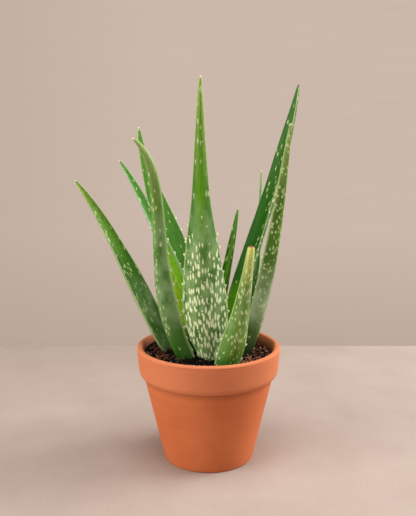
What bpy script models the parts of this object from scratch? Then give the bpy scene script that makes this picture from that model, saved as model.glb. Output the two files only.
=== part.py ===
"""A young aloe in a turned terracotta pot: pot, potting soil, the buried stem and eleven leaves.

Metres, +Z up. The pot stands on Z = 0 and the frame's origin is the middle of the whole plant's
footprint box, so the pot's own axis lies POT_AXIS_X to its right. Everything below is modelled about
the pot's axis and hangs from one empty there.
"""

from dataclasses import dataclass
from math import cos, pi, radians, sin

import bmesh
import bpy
from mathutils import Vector

# The pot: a 13 cm flared pot with a broad rolled rim.
POT_AXIS_X = 0.0175
POT_HEIGHT = 0.105
RIM_RADIUS = 0.065
RIM_DEPTH = 0.0265
RIM_TAPER = 0.0014
BODY_TOP_RADIUS = 0.059
BASE_RADIUS = 0.041
WALL = 0.005
FLOOR_THICKNESS = 0.007
LIP_ROUND = 0.002
DRAIN_HOLE_RADIUS = 0.006
POT_STEPS = 64

# The soil and the stem that it buries.
GAP = 0.0003
SOIL_EDGE_Z = 0.097
SOIL_CROWN_Z = 0.099
STEM_RADIUS = 0.0095
STEM_BOTTOM_Z = 0.052
STEM_TOP_Z = 0.088
STEM_CENTRE = Vector((0.0, 0.004, 0.0))

# The leaves. Their measures start at LEAF_ROOT_Z, just under the surface of the soil.
LEAF_ROOT_Z = 0.095
LEAF_RINGS = 15
BURIED_RINGS = 4
CUTTER_RINGS = 2
BACK_POINTS = 7
FACE_POINTS = 5
MARGIN_THICKNESS = 0.0009
BACK_SHARE = 0.88
TIP_RADIUS = 0.0005
ATTACHED_WIDTH = 0.008
ATTACH_GAP = 0.0014


@dataclass
class Leaf:
    """One leaf. Its spine is a Bezier curve: root, two handles, tip. The face is the channelled inner
    side, and its azimuth is in degrees from +X. The widths are at 0, 20, 40, 60 and 80% of the spine."""

    name: str
    root: tuple
    handles: tuple
    tip: tuple
    face: tuple
    widths: tuple
    thickness: float
    channel: float
    attach_z: float
    tip_width: float = 2 * TIP_RADIUS


LEAVES = (
    Leaf(
        "leaf_front_centre",
        (0.002, -0.017),
        ((-0.0062, -0.018, 0.150), (-0.008, -0.028, 0.266)),
        (-0.0064, -0.038, 0.339),
        (90, 90),
        (0.016, 0.038, 0.0315, 0.016, 0.008),
        0.011,
        0.20,
        0.070,
    ),
    Leaf(
        "leaf_far_left",
        (-0.037, 0.009),
        ((-0.0615, 0.009, 0.147), (-0.0875, 0.006, 0.213)),
        (-0.1175, 0.002, 0.2535),
        (-40, -50),
        (0.013, 0.018, 0.017, 0.012, 0.0075),
        0.008,
        0.34,
        0.062,
    ),
    Leaf(
        "leaf_front_left",
        (-0.0205, -0.011),
        ((-0.059, -0.011, 0.171), (-0.028, -0.019, 0.262)),
        (-0.063, -0.028, 0.290),
        (55, 60),
        (0.017, 0.0195, 0.014, 0.011, 0.008),
        0.009,
        0.30,
        0.074,
    ),
    Leaf(
        "leaf_back_left_short",
        (-0.013, 0.011),
        ((-0.0235, 0.014, 0.1515), (-0.0525, 0.020, 0.230)),
        (-0.0813, 0.026, 0.270),
        (-55, -60),
        (0.017, 0.0195, 0.017, 0.0095, 0.007),
        0.006,
        0.30,
        0.079,
    ),
    Leaf(
        "leaf_back_left_tall",
        (-0.008, 0.020),
        ((-0.013, 0.0275, 0.166), (-0.058, 0.040, 0.228)),
        (-0.0655, 0.052, 0.3005),
        (-75, -75),
        (0.016, 0.024, 0.026, 0.020, 0.0095),
        0.006,
        0.22,
        0.066,
    ),
    Leaf(
        "leaf_inner_left",
        (-0.008, 0.003),
        ((-0.025, 0.003, 0.133), (-0.039, 0.002, 0.1725)),
        (-0.047, 0.001, 0.213),
        (-45, -50),
        (0.012, 0.015, 0.0135, 0.0105, 0.007),
        0.005,
        0.25,
        0.087,
    ),
    Leaf(
        "leaf_back_right_small",
        (0.007, 0.026),
        ((0.010, 0.029, 0.138), (0.0215, 0.039, 0.182)),
        (0.028, 0.048, 0.224),
        (-110, -120),
        (0.010, 0.011, 0.0095, 0.008, 0.0055),
        0.005,
        0.30,
        0.084,
    ),
    Leaf(
        "leaf_back_right_tall",
        (0.014, 0.009),
        ((0.032, 0.014, 0.175), (0.066, 0.024, 0.253)),
        (0.0815, 0.034, 0.3375),
        (215, 215),
        (0.016, 0.0205, 0.019, 0.0155, 0.0125),
        0.007,
        0.34,
        0.085,
    ),
    Leaf(
        "leaf_front_right_tall",
        (0.033, -0.003),
        ((0.0565, -0.004, 0.174), (0.0605, -0.008, 0.2335)),
        (0.069, -0.014, 0.302),
        (140, 145),
        (0.012, 0.0175, 0.0155, 0.0115, 0.007),
        0.008,
        0.30,
        0.066,
    ),
    Leaf(
        "leaf_back_right_thin",
        (0.026, 0.021),
        ((0.048, 0.026, 0.152), (0.0485, 0.038, 0.203)),
        (0.0498, 0.048, 0.260),
        (-130, -130),
        (0.011, 0.013, 0.010, 0.006, 0.0035),
        0.005,
        0.30,
        0.070,
    ),
    Leaf(
        "leaf_front_right_short",
        (0.0157, -0.032),
        ((0.0273, -0.032, 0.130), (0.0317, -0.038, 0.168)),
        (0.0355, -0.044, 0.2025),
        (100, 100),
        (0.021, 0.0215, 0.0158, 0.0118, 0.0082),
        0.008,
        0.20,
        0.062,
        tip_width=0.005,
    ),
)

TERRACOTTA = ((0.51, 0.16, 0.07), 0.85)
SOIL = ((0.05, 0.03, 0.02), 0.95)
STEM = ((0.35, 0.30, 0.16), 0.7)
LEAF_GREEN = ((0.11, 0.25, 0.07), 0.45)


def lerp(a, b, t):
    return a + (b - a) * t


def linked(name, mesh, collection, parent, look):
    """A new object under the pot's axis, with a material of its own."""
    obj = bpy.data.objects.new(name, mesh)
    collection.objects.link(obj)
    obj.parent = parent
    colour, roughness = look
    material = bpy.data.materials.new(name)
    material.use_nodes = True
    shader = material.node_tree.nodes["Principled BSDF"]
    shader.inputs["Base Color"].default_value = (*colour, 1.0)
    shader.inputs["Roughness"].default_value = roughness
    mesh.materials.append(material)
    return obj


def turned(name, profile, closed, steps, collection, parent, look):
    """A turned piece. The profile's (radius, z) points run down its outer side, from the top."""
    mesh = bpy.data.meshes.new(name)
    count = len(profile)
    edges = [(i, (i + 1) % count) for i in range(count if closed else count - 1)]
    mesh.from_pydata([(r, 0.0, z) for r, z in profile], edges, [])
    obj = linked(name, mesh, collection, parent, look)
    screw = obj.modifiers.new("turn", "SCREW")
    screw.steps = screw.render_steps = steps
    screw.use_merge_vertices = True
    screw.merge_threshold = 0.0001
    screw.use_smooth_shade = True
    return obj


def arc(centre_r, centre_z, radius, start, end, points):
    """Points (radius, z) on an arc of the profile, from one angle to the other in degrees."""
    angles = [radians(lerp(start, end, i / (points - 1))) for i in range(points)]
    return [(centre_r + radius * cos(a), centre_z + radius * sin(a)) for a in angles]


def pot_inner_radius(z):
    """The inside of the wall runs straight from the floor to the lip's foot, then to the mouth."""
    rim_foot_z = POT_HEIGHT - RIM_DEPTH
    if z < rim_foot_z:
        return lerp(BASE_RADIUS, BODY_TOP_RADIUS, z / rim_foot_z) - WALL
    mouth = RIM_RADIUS - WALL
    return lerp(BODY_TOP_RADIUS - WALL, mouth, (z - rim_foot_z) / RIM_DEPTH)


def pot_profile():
    rim_foot_z = POT_HEIGHT - RIM_DEPTH
    roll = RIM_RADIUS - RIM_TAPER - BODY_TOP_RADIUS
    round_z = rim_foot_z + roll * 1.6
    outer = arc(RIM_RADIUS - LIP_ROUND, POT_HEIGHT - LIP_ROUND, LIP_ROUND, 90, 0, 4)
    for i in range(5):
        a = radians(22.5 * i)
        outer.append((BODY_TOP_RADIUS + roll * cos(a), round_z - (round_z - rim_foot_z) * sin(a)))
    outer += [(BASE_RADIUS + 0.0005, 0.0015), (BASE_RADIUS - 0.0008, 0.0)]
    floor = [
        (DRAIN_HOLE_RADIUS, 0.0),
        (DRAIN_HOLE_RADIUS, FLOOR_THICKNESS),
        (pot_inner_radius(FLOOR_THICKNESS) - 0.003, FLOOR_THICKNESS),
        (pot_inner_radius(FLOOR_THICKNESS + 0.003), FLOOR_THICKNESS + 0.003),
    ]
    inner = [(pot_inner_radius(z), z) for z in (rim_foot_z, POT_HEIGHT - LIP_ROUND)]
    lip = arc(pot_inner_radius(POT_HEIGHT) + 0.0012, POT_HEIGHT - 0.0012, 0.0012, 150, 90, 3)
    return outer + floor + inner + lip


def soil_profile():
    """Soil fills the pot to a finger's width below the lip and is heaped slightly round the plant."""
    rim_foot_z = POT_HEIGHT - RIM_DEPTH
    floor_z = FLOOR_THICKNESS + GAP
    top = [(0.0, SOIL_CROWN_Z), (0.022, SOIL_CROWN_Z - 0.0004), (0.044, SOIL_EDGE_Z + 0.0008)]
    edge = [(pot_inner_radius(z) - GAP, z) for z in (SOIL_EDGE_Z, rim_foot_z, floor_z + 0.003)]
    return top + edge + [(pot_inner_radius(floor_z) - 0.003 - GAP, floor_z), (0.0, floor_z)]


def stem_profile(grow):
    """A short fleshy stem, rounded above and narrowed below. grow widens it for the cutter."""
    radius = STEM_RADIUS + grow
    top_z = STEM_TOP_Z + grow
    bottom_z = STEM_BOTTOM_Z - grow
    crown = [(0.0, top_z), (radius * 0.6, top_z - 0.001), (radius * 0.93, top_z - 0.004)]
    foot = [(radius * 0.75, bottom_z + 0.004), (radius * 0.5, bottom_z), (0.0, bottom_z)]
    return crown + [(radius, top_z - 0.010)] + foot


def bezier(points, t):
    a, b, c, d = points
    s = 1 - t
    return a * s**3 + b * (3 * s * s * t) + c * (3 * s * t * t) + d * t**3


def width_at(leaf, t):
    """A smooth curve through the five widths, closing to a rounded tip."""
    stations = leaf.widths + (leaf.tip_width,)
    place = min(t, 0.9999) * 5
    i = int(place)
    f = place - i
    before = stations[max(i - 1, 0)]
    here, after = stations[i], stations[i + 1]
    if i == 4:
        return lerp(after, here, (1 - f) ** 0.8)
    beyond = stations[i + 2]
    slope_in = (after - before) / 2 if i else after - here
    slope_out = (beyond - here) / 2
    f2, f3 = f * f, f * f * f
    curve = (2 * f3 - 3 * f2 + 1) * here + (f3 - 2 * f2 + f) * slope_in
    return curve + (3 * f2 - 2 * f3) * after + (f3 - f2) * slope_out


def buried_spine(leaf, root, rise):
    """From the stem's side to the soil line. The knee is where the leaf base turns upwards: below the
    root on the leaf's own line, and drawn halfway down towards the level of the stem joint."""
    out = Vector((root.x, root.y, 0)) - Vector((STEM_CENTRE.x, STEM_CENTRE.y, 0))
    start = STEM_CENTRE + out.normalized() * (STEM_RADIUS + ATTACH_GAP)
    start.z = leaf.attach_z
    knee = root - rise * ((root.z - start.z) * 0.55)
    knee = (knee + Vector((knee.x, knee.y, lerp(start.z, knee.z, 0.5)))) / 2
    rings = []
    for i in range(BURIED_RINGS):
        t = i / BURIED_RINGS
        rings.append(start * (1 - t) ** 2 + knee * (2 * t * (1 - t)) + root * t * t)
    return rings


def leaf_rings(leaf):
    """(centre, direction, face, width, thickness, buried) for each section, from the stem to the tip."""
    root = Vector((*leaf.root, LEAF_ROOT_Z))
    points = [root, Vector(leaf.handles[0]), Vector(leaf.handles[1]), Vector(leaf.tip)]
    rise = (points[1] - root).normalized()
    buried = buried_spine(leaf, root, rise)
    steps = [(i / LEAF_RINGS) ** 0.92 for i in range(LEAF_RINGS + 1)]
    centres = buried + [bezier(points, t) for t in steps]
    widest = max(leaf.widths)
    inward = (STEM_CENTRE - root).to_2d()
    rings = []
    for i, centre in enumerate(centres):
        ahead = centres[min(i + 1, len(centres) - 1)]
        behind = centres[max(i - 1, 0)]
        direction = (ahead - behind).normalized()
        t = 0.0 if i < len(buried) else steps[i - len(buried)]
        angle = radians(lerp(leaf.face[0], leaf.face[1], t))
        face = Vector((cos(angle), sin(angle), 0))
        width = width_at(leaf, t)
        if i < len(buried):
            share = i / len(buried)
            face = (Vector((*inward.normalized(), 0)) * (1 - share) + face * share).normalized()
            width = lerp(ATTACHED_WIDTH, width, share)
        face = (face - direction * face.dot(direction)).normalized()
        thickness = leaf.thickness * (width / widest) ** 0.75
        if i < len(buried):
            thickness = lerp(ATTACHED_WIDTH * 0.5, thickness, share)
        rings.append((centre, direction, face, width, thickness))
    return rings


def section(width, thickness, channel):
    """One crescent section: (across, towards the face) points round the back, then over the face."""
    half = width / 2
    margin = min(MARGIN_THICKNESS, width * 0.3)
    curl = channel * width * 0.5
    points = []
    for i in range(BACK_POINTS):
        u = cos(pi * i / (BACK_POINTS - 1))
        belly = (1 - u * u) ** 0.7 * thickness * BACK_SHARE
        points.append((half * u, curl * u * u - margin / 2 - belly))
    for i in range(FACE_POINTS):
        u = -cos(pi * (i + 0.35) / (FACE_POINTS - 0.3))
        swell = (1 - u * u) ** 0.8 * thickness * (1 - BACK_SHARE)
        points.append((half * u, curl * u * u + margin / 2 + swell))
    return points


def lofted_leaf(name, rings, channel, grow, collection, parent, look):
    """Skins the sections from one end to the other. grow pushes the skin out, for the cutters."""
    bm = bmesh.new()
    loops = []
    for centre, direction, face, width, thickness in rings:
        across = direction.cross(face)
        outline = section(width, thickness, channel)
        loops.append([bm.verts.new(centre + across * u + face * v) for u, v in outline])
    for lower, upper in zip(loops, loops[1:]):
        for i in range(len(lower)):
            j = (i + 1) % len(lower)
            bm.faces.new((lower[i], lower[j], upper[j], upper[i]))
    bm.faces.new(loops[0])
    bm.faces.new(loops[-1])
    bmesh.ops.recalc_face_normals(bm, faces=bm.faces)
    bm.normal_update()
    for vertex in bm.verts:
        vertex.co += vertex.normal * grow
    mesh = bpy.data.meshes.new(name)
    bm.to_mesh(mesh)
    bm.free()
    mesh.shade_smooth()
    mesh.set_sharp_from_angle(angle=radians(50))
    return linked(name, mesh, collection, parent, look)


def cut(target, cutter):
    boolean = target.modifiers.new(cutter.name, "BOOLEAN")
    boolean.operation = "DIFFERENCE"
    boolean.object = cutter


def new_collection(name):
    collection = bpy.data.collections.new(name)
    bpy.context.scene.collection.children.link(collection)
    return collection


def build():
    for obj in list(bpy.data.objects):
        bpy.data.objects.remove(obj, do_unlink=True)
    parts = new_collection("potted_aloe")
    cutters = new_collection("soil_cutters")
    axis = bpy.data.objects.new("pot_axis", None)
    axis.location = (POT_AXIS_X, 0.0, 0.0)
    parts.objects.link(axis)

    turned("pot", pot_profile(), True, POT_STEPS, parts, axis, TERRACOTTA)
    soil = turned("potting_soil", soil_profile(), False, 40, parts, axis, SOIL)
    stem = turned("stem", stem_profile(0.0), False, 16, parts, axis, STEM)
    stem.location = STEM_CENTRE
    stem_cutter = turned("stem_cutter", stem_profile(GAP), False, 16, cutters, axis, STEM)
    stem_cutter.location = STEM_CENTRE
    cut(soil, stem_cutter)
    for leaf in LEAVES:
        rings = leaf_rings(leaf)
        lofted_leaf(leaf.name, rings, leaf.channel, 0.0, parts, axis, LEAF_GREEN)
        lower = rings[: BURIED_RINGS + CUTTER_RINGS + 1]
        pocket = lofted_leaf(
            leaf.name + "_cutter", lower, leaf.channel, GAP * 2, cutters, axis, LEAF_GREEN
        )
        cut(soil, pocket)
    for cutter in cutters.objects:
        cutter.hide_render = True
        cutter.display_type = "WIRE"


build()
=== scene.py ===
from math import ceil, cos, pi, radians, sin, sqrt
from random import Random

import bpy
import numpy as np
from mathutils import Euler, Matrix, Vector, noise
from mathutils.bvhtree import BVHTree


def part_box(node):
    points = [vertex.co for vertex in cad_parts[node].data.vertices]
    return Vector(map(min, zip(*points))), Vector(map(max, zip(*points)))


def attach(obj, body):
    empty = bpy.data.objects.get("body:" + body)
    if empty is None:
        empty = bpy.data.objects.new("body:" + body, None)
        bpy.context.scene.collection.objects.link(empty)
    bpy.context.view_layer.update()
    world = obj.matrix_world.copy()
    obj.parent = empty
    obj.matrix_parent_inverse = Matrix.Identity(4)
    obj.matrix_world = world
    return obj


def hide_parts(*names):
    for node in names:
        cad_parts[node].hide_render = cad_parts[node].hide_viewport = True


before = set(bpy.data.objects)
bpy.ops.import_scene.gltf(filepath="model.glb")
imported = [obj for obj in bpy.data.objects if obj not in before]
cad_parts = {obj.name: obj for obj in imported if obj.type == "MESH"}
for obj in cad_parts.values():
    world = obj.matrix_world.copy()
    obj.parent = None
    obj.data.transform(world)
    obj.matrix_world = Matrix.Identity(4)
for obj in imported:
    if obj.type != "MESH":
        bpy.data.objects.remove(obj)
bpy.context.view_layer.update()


# ---- Pot ---------------------------------------------------------------------------------------
# The real piece: a 13 cm flowerpot of red earthenware, thrown on a wheel and fired unglazed. The
# rolled rim is turned in one piece with the wall, and one drain hole is cut through the floor.

MM = 0.001
pot_low, pot_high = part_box("pot")
AXIS = Vector(((pot_low.x + pot_high.x) / 2, (pot_low.y + pot_high.y) / 2, 0.0))
RIM_RADIUS = (pot_high.x - pot_low.x) / 2
POT_HEIGHT = pot_high.z
RIM_DEPTH = 26.5 * MM
RIM_TAPER = 1.4 * MM
BODY_TOP_RADIUS = 59 * MM
BASE_RADIUS = 41 * MM
WALL = 5 * MM
FLOOR_THICKNESS = 7 * MM
DRAIN_HOLE_RADIUS = 6 * MM
LIP_ROUND = 2 * MM
MOUTH_ROUND = 1.4 * MM
BASE_ROUND = 1.9 * MM
DRAIN_ROUND = 1 * MM
FLOOR_CORNER = 3 * MM
CREASE = 0.4 * MM
# Two shallow grooves, where a rib was held to the turning clay: how far below the lip, half width, depth.
GROOVES = ((2.5 * MM, 0.6 * MM, 0.34 * MM), (4.5 * MM, 0.5 * MM, 0.18 * MM))
POT_UNEVENNESS = 0.35 * MM
POT_SEGMENTS = 240


def lerp(a, b, t):
    """The value this share of the way from a to b."""
    return a + (b - a) * t


def arc(centre, radii, start, end, count):
    """Points (radius, z) of the profile on an elliptic arc, angles in degrees."""
    angles = np.radians(np.linspace(start, end, count))
    return [(centre[0] + radii[0] * cos(a), centre[1] + radii[1] * sin(a)) for a in angles]


def straight(start, end, step):
    """Points from start to just before end, about one step apart."""
    count = max(1, ceil(sqrt((end[0] - start[0]) ** 2 + (end[1] - start[1]) ** 2) / step))
    return [(lerp(start[0], end[0], i / count), lerp(start[1], end[1], i / count)) for i in range(count)]


def pot_inner_radius(z):
    """Radius of the inside of the wall at a height."""
    rim_foot = POT_HEIGHT - RIM_DEPTH
    if z < rim_foot:
        return lerp(BASE_RADIUS, BODY_TOP_RADIUS, z / rim_foot) - WALL
    return lerp(BODY_TOP_RADIUS, RIM_RADIUS, (z - rim_foot) / RIM_DEPTH) - WALL


def pot_profile():
    """Points (radius, z) once round the wall: lip, rim, body, base, drain hole, floor, inside, mouth."""
    rim_foot = POT_HEIGHT - RIM_DEPTH
    rim_low_radius = RIM_RADIUS - RIM_TAPER
    roll = rim_low_radius - BODY_TOP_RADIUS
    roll_height = 1.6 * roll
    lip = (RIM_RADIUS - LIP_ROUND, POT_HEIGHT - LIP_ROUND)
    mouth = (pot_inner_radius(POT_HEIGHT) + MOUTH_ROUND, POT_HEIGHT - MOUTH_ROUND)
    points = arc(lip, (LIP_ROUND, LIP_ROUND), 90, 0, 9)
    band = straight((RIM_RADIUS, lip[1] - CREASE), (rim_low_radius, rim_foot + roll_height), 0.3 * MM)
    for r, z in band:
        sunk = sum(deep * max(0.0, 1 - ((POT_HEIGHT - z - low) / wide) ** 2) for low, wide, deep in GROOVES)
        points.append((r - sunk, z))
    rim_edge = (BODY_TOP_RADIUS + CREASE, rim_foot + roll_height)
    points += arc(rim_edge, (roll - CREASE, roll_height), 0, -90, 16)
    points += straight((BODY_TOP_RADIUS, rim_foot - 0.3 * MM), (BASE_RADIUS + 0.6 * MM, 2.2 * MM), MM)
    points += arc((BASE_RADIUS - 1.3 * MM, BASE_ROUND), (1.8 * MM, BASE_ROUND), 0, -90, 7)
    points += straight((BASE_RADIUS - 3 * MM, 0), (DRAIN_HOLE_RADIUS + DRAIN_ROUND, 0), 4 * MM)
    points += arc((DRAIN_HOLE_RADIUS + DRAIN_ROUND, DRAIN_ROUND), (DRAIN_ROUND, DRAIN_ROUND), -90, -180, 5)
    # The rest of the corners inside, each with how far apart the points on the way to the next one lie.
    wall_foot = FLOOR_THICKNESS + FLOOR_CORNER
    corners = (
        ((DRAIN_HOLE_RADIUS, 2 * MM), 2 * MM),
        ((DRAIN_HOLE_RADIUS, FLOOR_THICKNESS), 4 * MM),
        ((pot_inner_radius(FLOOR_THICKNESS) - FLOOR_CORNER, FLOOR_THICKNESS), 2 * MM),
        ((pot_inner_radius(wall_foot), wall_foot), 3 * MM),
        ((pot_inner_radius(rim_foot), rim_foot), MM),
        ((pot_inner_radius(mouth[1]), mouth[1]), None),
    )
    for (corner, step), (following, _) in zip(corners, corners[1:]):
        points += straight(corner, following, step)
    return points + arc(mouth, (MOUTH_ROUND, MOUTH_ROUND), 170, 100, 6)


def piece(name, points, faces, material, replaced=(), smooth=True):
    """A mesh object from points in metres about the pot's axis, riding on the plant's one body."""
    mesh = bpy.data.meshes.new(name)
    mesh.from_pydata((np.asarray(points) + np.array(AXIS)).tolist(), [], faces)
    mesh.validate()
    mesh.materials.append(material)
    if smooth:
        mesh.shade_smooth()
    made = bpy.data.objects.new(name, mesh)
    bpy.context.scene.collection.objects.link(made)
    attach(made, "root")
    if replaced:
        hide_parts(*replaced)
    return made


def grid_faces(rows, columns, close_rows):
    """Quads of a grid whose columns run round a ring, and whose rows may join end to end."""
    faces = []
    for i in range(rows if close_rows else rows - 1):
        for j in range(columns):
            k, m = (i + 1) % rows, (j + 1) % columns
            faces.append((i * columns + j, k * columns + j, k * columns + m, i * columns + m))
    return faces


def turned(profile, segments, unevenness):
    """Points of a wheel-thrown shape: faint throwing rings, and a wall never quite round."""
    points = []
    for r, z in profile:
        ring = noise.noise(Vector((0, 0, z / (1.6 * MM)))) * (0.1 if r > 30 * MM else 0)
        for j in range(segments):
            a = 2 * pi * j / segments
            drift = noise.noise(Vector((1.3 * cos(a), 1.3 * sin(a), z / (35 * MM))))
            slip = r - unevenness * (0.5 + 0.5 * drift + ring)
            points.append((slip * cos(a), slip * sin(a), z))
    return points


def srgb(code):
    """Linear colour of an sRGB hex value."""
    parts = [int(code[i : i + 2], 16) / 255 for i in (1, 3, 5)]
    return (*[c / 12.92 if c <= 0.04045 else ((c + 0.055) / 1.055) ** 2.4 for c in parts], 1.0)


def add(tree, kind, inputs=None, **settings):
    """Adds a node with its settings, values and links."""
    made = tree.nodes.new("ShaderNode" + kind)
    for name, value in settings.items():
        setattr(made, name, value)
    for key, value in (inputs or {}).items():
        if isinstance(value, bpy.types.NodeSocket):
            tree.links.new(value, made.inputs[key])
        else:
            made.inputs[key].default_value = value
    return made


def new_material(name, **values):
    """A material with a Principled shader set to these values, which are the same all over."""
    material = bpy.data.materials.new(name)
    material.use_nodes = True
    shader = material.node_tree.nodes["Principled BSDF"]
    for key, value in values.items():
        shader.inputs[key.replace("_", " ")].default_value = value
    return material, material.node_tree, shader


def red_earthenware():
    """Unglazed fired clay: open and dry, so it scatters light with almost no gloss. The eye sees soft
    mottling from the kiln, fine grit, and faint level lines where the clay passed the potter's hand."""
    material, tree, shader = new_material("red_earthenware", IOR=1.5, Specular_IOR_Level=0.5)
    place = add(tree, "TexCoord").outputs["Object"]
    mottle = add(tree, "TexNoise", {"Vector": place, "Scale": 1 / (42 * MM), "Detail": 3.0}).outputs["Fac"]
    level = add(tree, "Mapping", {"Vector": place, "Scale": (5, 5, 1 / (2.6 * MM))}).outputs["Vector"]
    lines = add(tree, "TexNoise", {"Vector": level, "Scale": 1.0, "Detail": 3.0}).outputs["Fac"]
    # Real grit is nearer 0.3 mm, and is drawn as coarse as it needs to show.
    grit = add(tree, "TexNoise", {"Vector": place, "Scale": 1 / (0.9 * MM), "Detail": 3.0}).outputs["Fac"]
    pores = add(tree, "TexVoronoi", {"Vector": place, "Scale": 1 / (4.5 * MM)}).outputs["Distance"]
    height = add(tree, "SeparateXYZ", {0: place}).outputs["Z"]
    soft = add(tree, "MapRange", {0: mottle, 1: 0.35, 2: 0.65}).outputs[0]
    # The rim is painted paler than the wall below it.
    up = add(tree, "MapRange", {0: height, 1: 76 * MM, 2: 82 * MM, 4: 0.27}).outputs[0]
    # Painted shadow in the crease under the rim: a darker band where the rim's overhang shades the wall.
    below = add(tree, "MapRange", {0: height, 1: 72.5 * MM, 2: 77 * MM, 4: 0.6}).outputs[0]
    within = add(tree, "MapRange", {0: height, 1: 78.6 * MM, 2: 78.1 * MM}).outputs[0]
    painted_crease_shadow = add(tree, "Math", {0: below, 1: within}, operation="MULTIPLY").outputs[0]
    streak = add(tree, "MapRange", {0: lines, 1: 0.45, 2: 0.75, 4: 0.16}).outputs[0]
    pitted = add(tree, "MapRange", {0: pores, 1: 0.08, 2: 0.04, 4: 0.35}).outputs[0]
    dusty = add(tree, "MapRange", {0: grit, 1: 0.5, 2: 0.8, 4: 0.22}).outputs[0]
    damp = add(tree, "Attribute", attribute_name="damp").outputs["Fac"]
    clay = srgb("#c16230")
    for share, code in (
        (soft, "#ca6e3b"),
        (up, "#d68f6c"),
        (painted_crease_shadow, "#8e4420"),
        (streak, "#cf8058"),
        (pitted, "#8f4426"),
        (dusty, "#d8906a"),
        (damp, "#5c2a16"),
    ):
        clay = add(tree, "Mix", {0: share, 6: clay, 7: srgb(code)}, data_type="RGBA").outputs[2]
    tree.links.new(clay, shader.inputs["Base Color"])
    rough = add(tree, "MapRange", {0: grit, 3: 0.78, 4: 0.92}).outputs[0]
    tree.links.new(rough, shader.inputs["Roughness"])
    heights = add(tree, "Math", {0: grit, 1: lines}, operation="ADD").outputs[0]
    bump = add(tree, "Bump", {"Height": heights, "Strength": 0.12, "Distance": 0.3 * MM}).outputs[0]
    tree.links.new(bump, shader.inputs["Normal"])
    return material


SOIL_CROWN_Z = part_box("potting_soil")[1].z
SOIL_EDGE_Z = SOIL_CROWN_Z - 2 * MM
pot_points = pot_profile()
pot = piece(
    "terracotta_pot",
    turned(pot_points, POT_SEGMENTS, POT_UNEVENNESS),
    grid_faces(len(pot_points), POT_SEGMENTS, True),
    red_earthenware(),
    replaced=["pot"],
)
# The inside of the wall takes up water from the soil, and darkens a little above it.
DAMP_RISE = 6 * MM
DAMP_MOST = 0.85
damp = pot.data.attributes.new("damp", "FLOAT", "POINT")
for index, vertex in enumerate(pot.data.vertices):
    inside = pot_points[index // POT_SEGMENTS][0] < pot_inner_radius(vertex.co.z) + 1.5 * MM
    above = (vertex.co.z - SOIL_EDGE_Z) / DAMP_RISE
    wet = DAMP_MOST * min(1.0, max(0.0, 1.0 - above))
    damp.data[index].value = wet if inside and vertex.co.z > 2 * MM else 0.0


# ---- Stem --------------------------------------------------------------------------------------
# The real piece: the short fleshy stem that every leaf grows from, buried in the soil. It is the
# CAD solid as it stands, with the corky skin that an old stem has.


def corky_stem():
    """Corky skin: dry, brown-green and cracked into small plates."""
    material, tree, shader = new_material("corky_stem", Roughness=0.8)
    place = add(tree, "TexCoord").outputs["Object"]
    plates = add(tree, "TexVoronoi", {"Vector": place, "Scale": 1 / (3 * MM)}).outputs["Distance"]
    browns = {0: plates, 6: srgb("#5b4a2c"), 7: srgb("#a39a63")}
    colour = add(tree, "Mix", browns, data_type="RGBA").outputs[2]
    tree.links.new(colour, shader.inputs["Base Color"])
    bump = add(tree, "Bump", {"Height": plates, "Strength": 0.5, "Distance": 0.5 * MM}).outputs[0]
    tree.links.new(bump, shader.inputs["Normal"])
    return material


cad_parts["stem"].data.materials.clear()
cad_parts["stem"].data.materials.append(corky_stem())


# ---- Leaves ------------------------------------------------------------------------------------
# The real pieces: eleven fleshy leaves, each grown in one piece from the stem. A leaf is a crescent
# in section, rounded at the back and channelled on its inner face, with a thin horny margin that
# carries small white teeth. The skin is waxy and spotted, and thins to a dry point.

LEAF_ROOT_Z = 95 * MM
STEM_CENTRE = Vector((0.0, 4 * MM, 0.0))
STEM_RADIUS = 9.5 * MM
ATTACH_GAP = 1.4 * MM
ATTACHED_WIDTH = 8 * MM
MARGIN_THICKNESS = 0.9 * MM
BACK_SHARE = 0.88
TIP_RADIUS = 0.5 * MM
RING_STEP = 0.8 * MM
BURIED_RINGS = 12
SPINE_SAMPLES = 400
BACK_POINTS = 27
FACE_POINTS = 19
TOOTH_REACH = 1.9 * MM
TOOTH_SPACING = 12.5 * MM
TOOTH_HALF_LENGTH = 1.6 * MM
SKIN_WAVE = 0.22 * MM
# The skin's patterns on the face are read this far along from those on the back, so they differ.
FACE_OFFSET_MM = 400


def bezier(points, t):
    """The point at share t of a curve, from its two ends and the two handles between them."""
    a, b, c, d = points
    s = 1 - t
    return a * s**3 + b * (3 * s * s * t) + c * (3 * s * t * t) + d * t**3


def width_at(widths, tip_width, t):
    """A smooth curve through the widths at 0, 20, 40, 60 and 80% of the leaf, closing to its tip."""
    stations = (*widths, tip_width)
    place = min(t, 0.9999) * 5
    i = int(place)
    f = place - i
    here, after = stations[i], stations[i + 1]
    if i == 4:
        return lerp(after, here, (1 - f) ** 0.8)
    slope_in = (after - stations[i - 1]) / 2 if i else after - here
    slope_out = (stations[i + 2] - here) / 2
    f2, f3 = f * f, f * f * f
    curve = (2 * f3 - 3 * f2 + 1) * here + (f3 - 2 * f2 + f) * slope_in
    return curve + (3 * f2 - 2 * f3) * after + (f3 - f2) * slope_out


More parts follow.
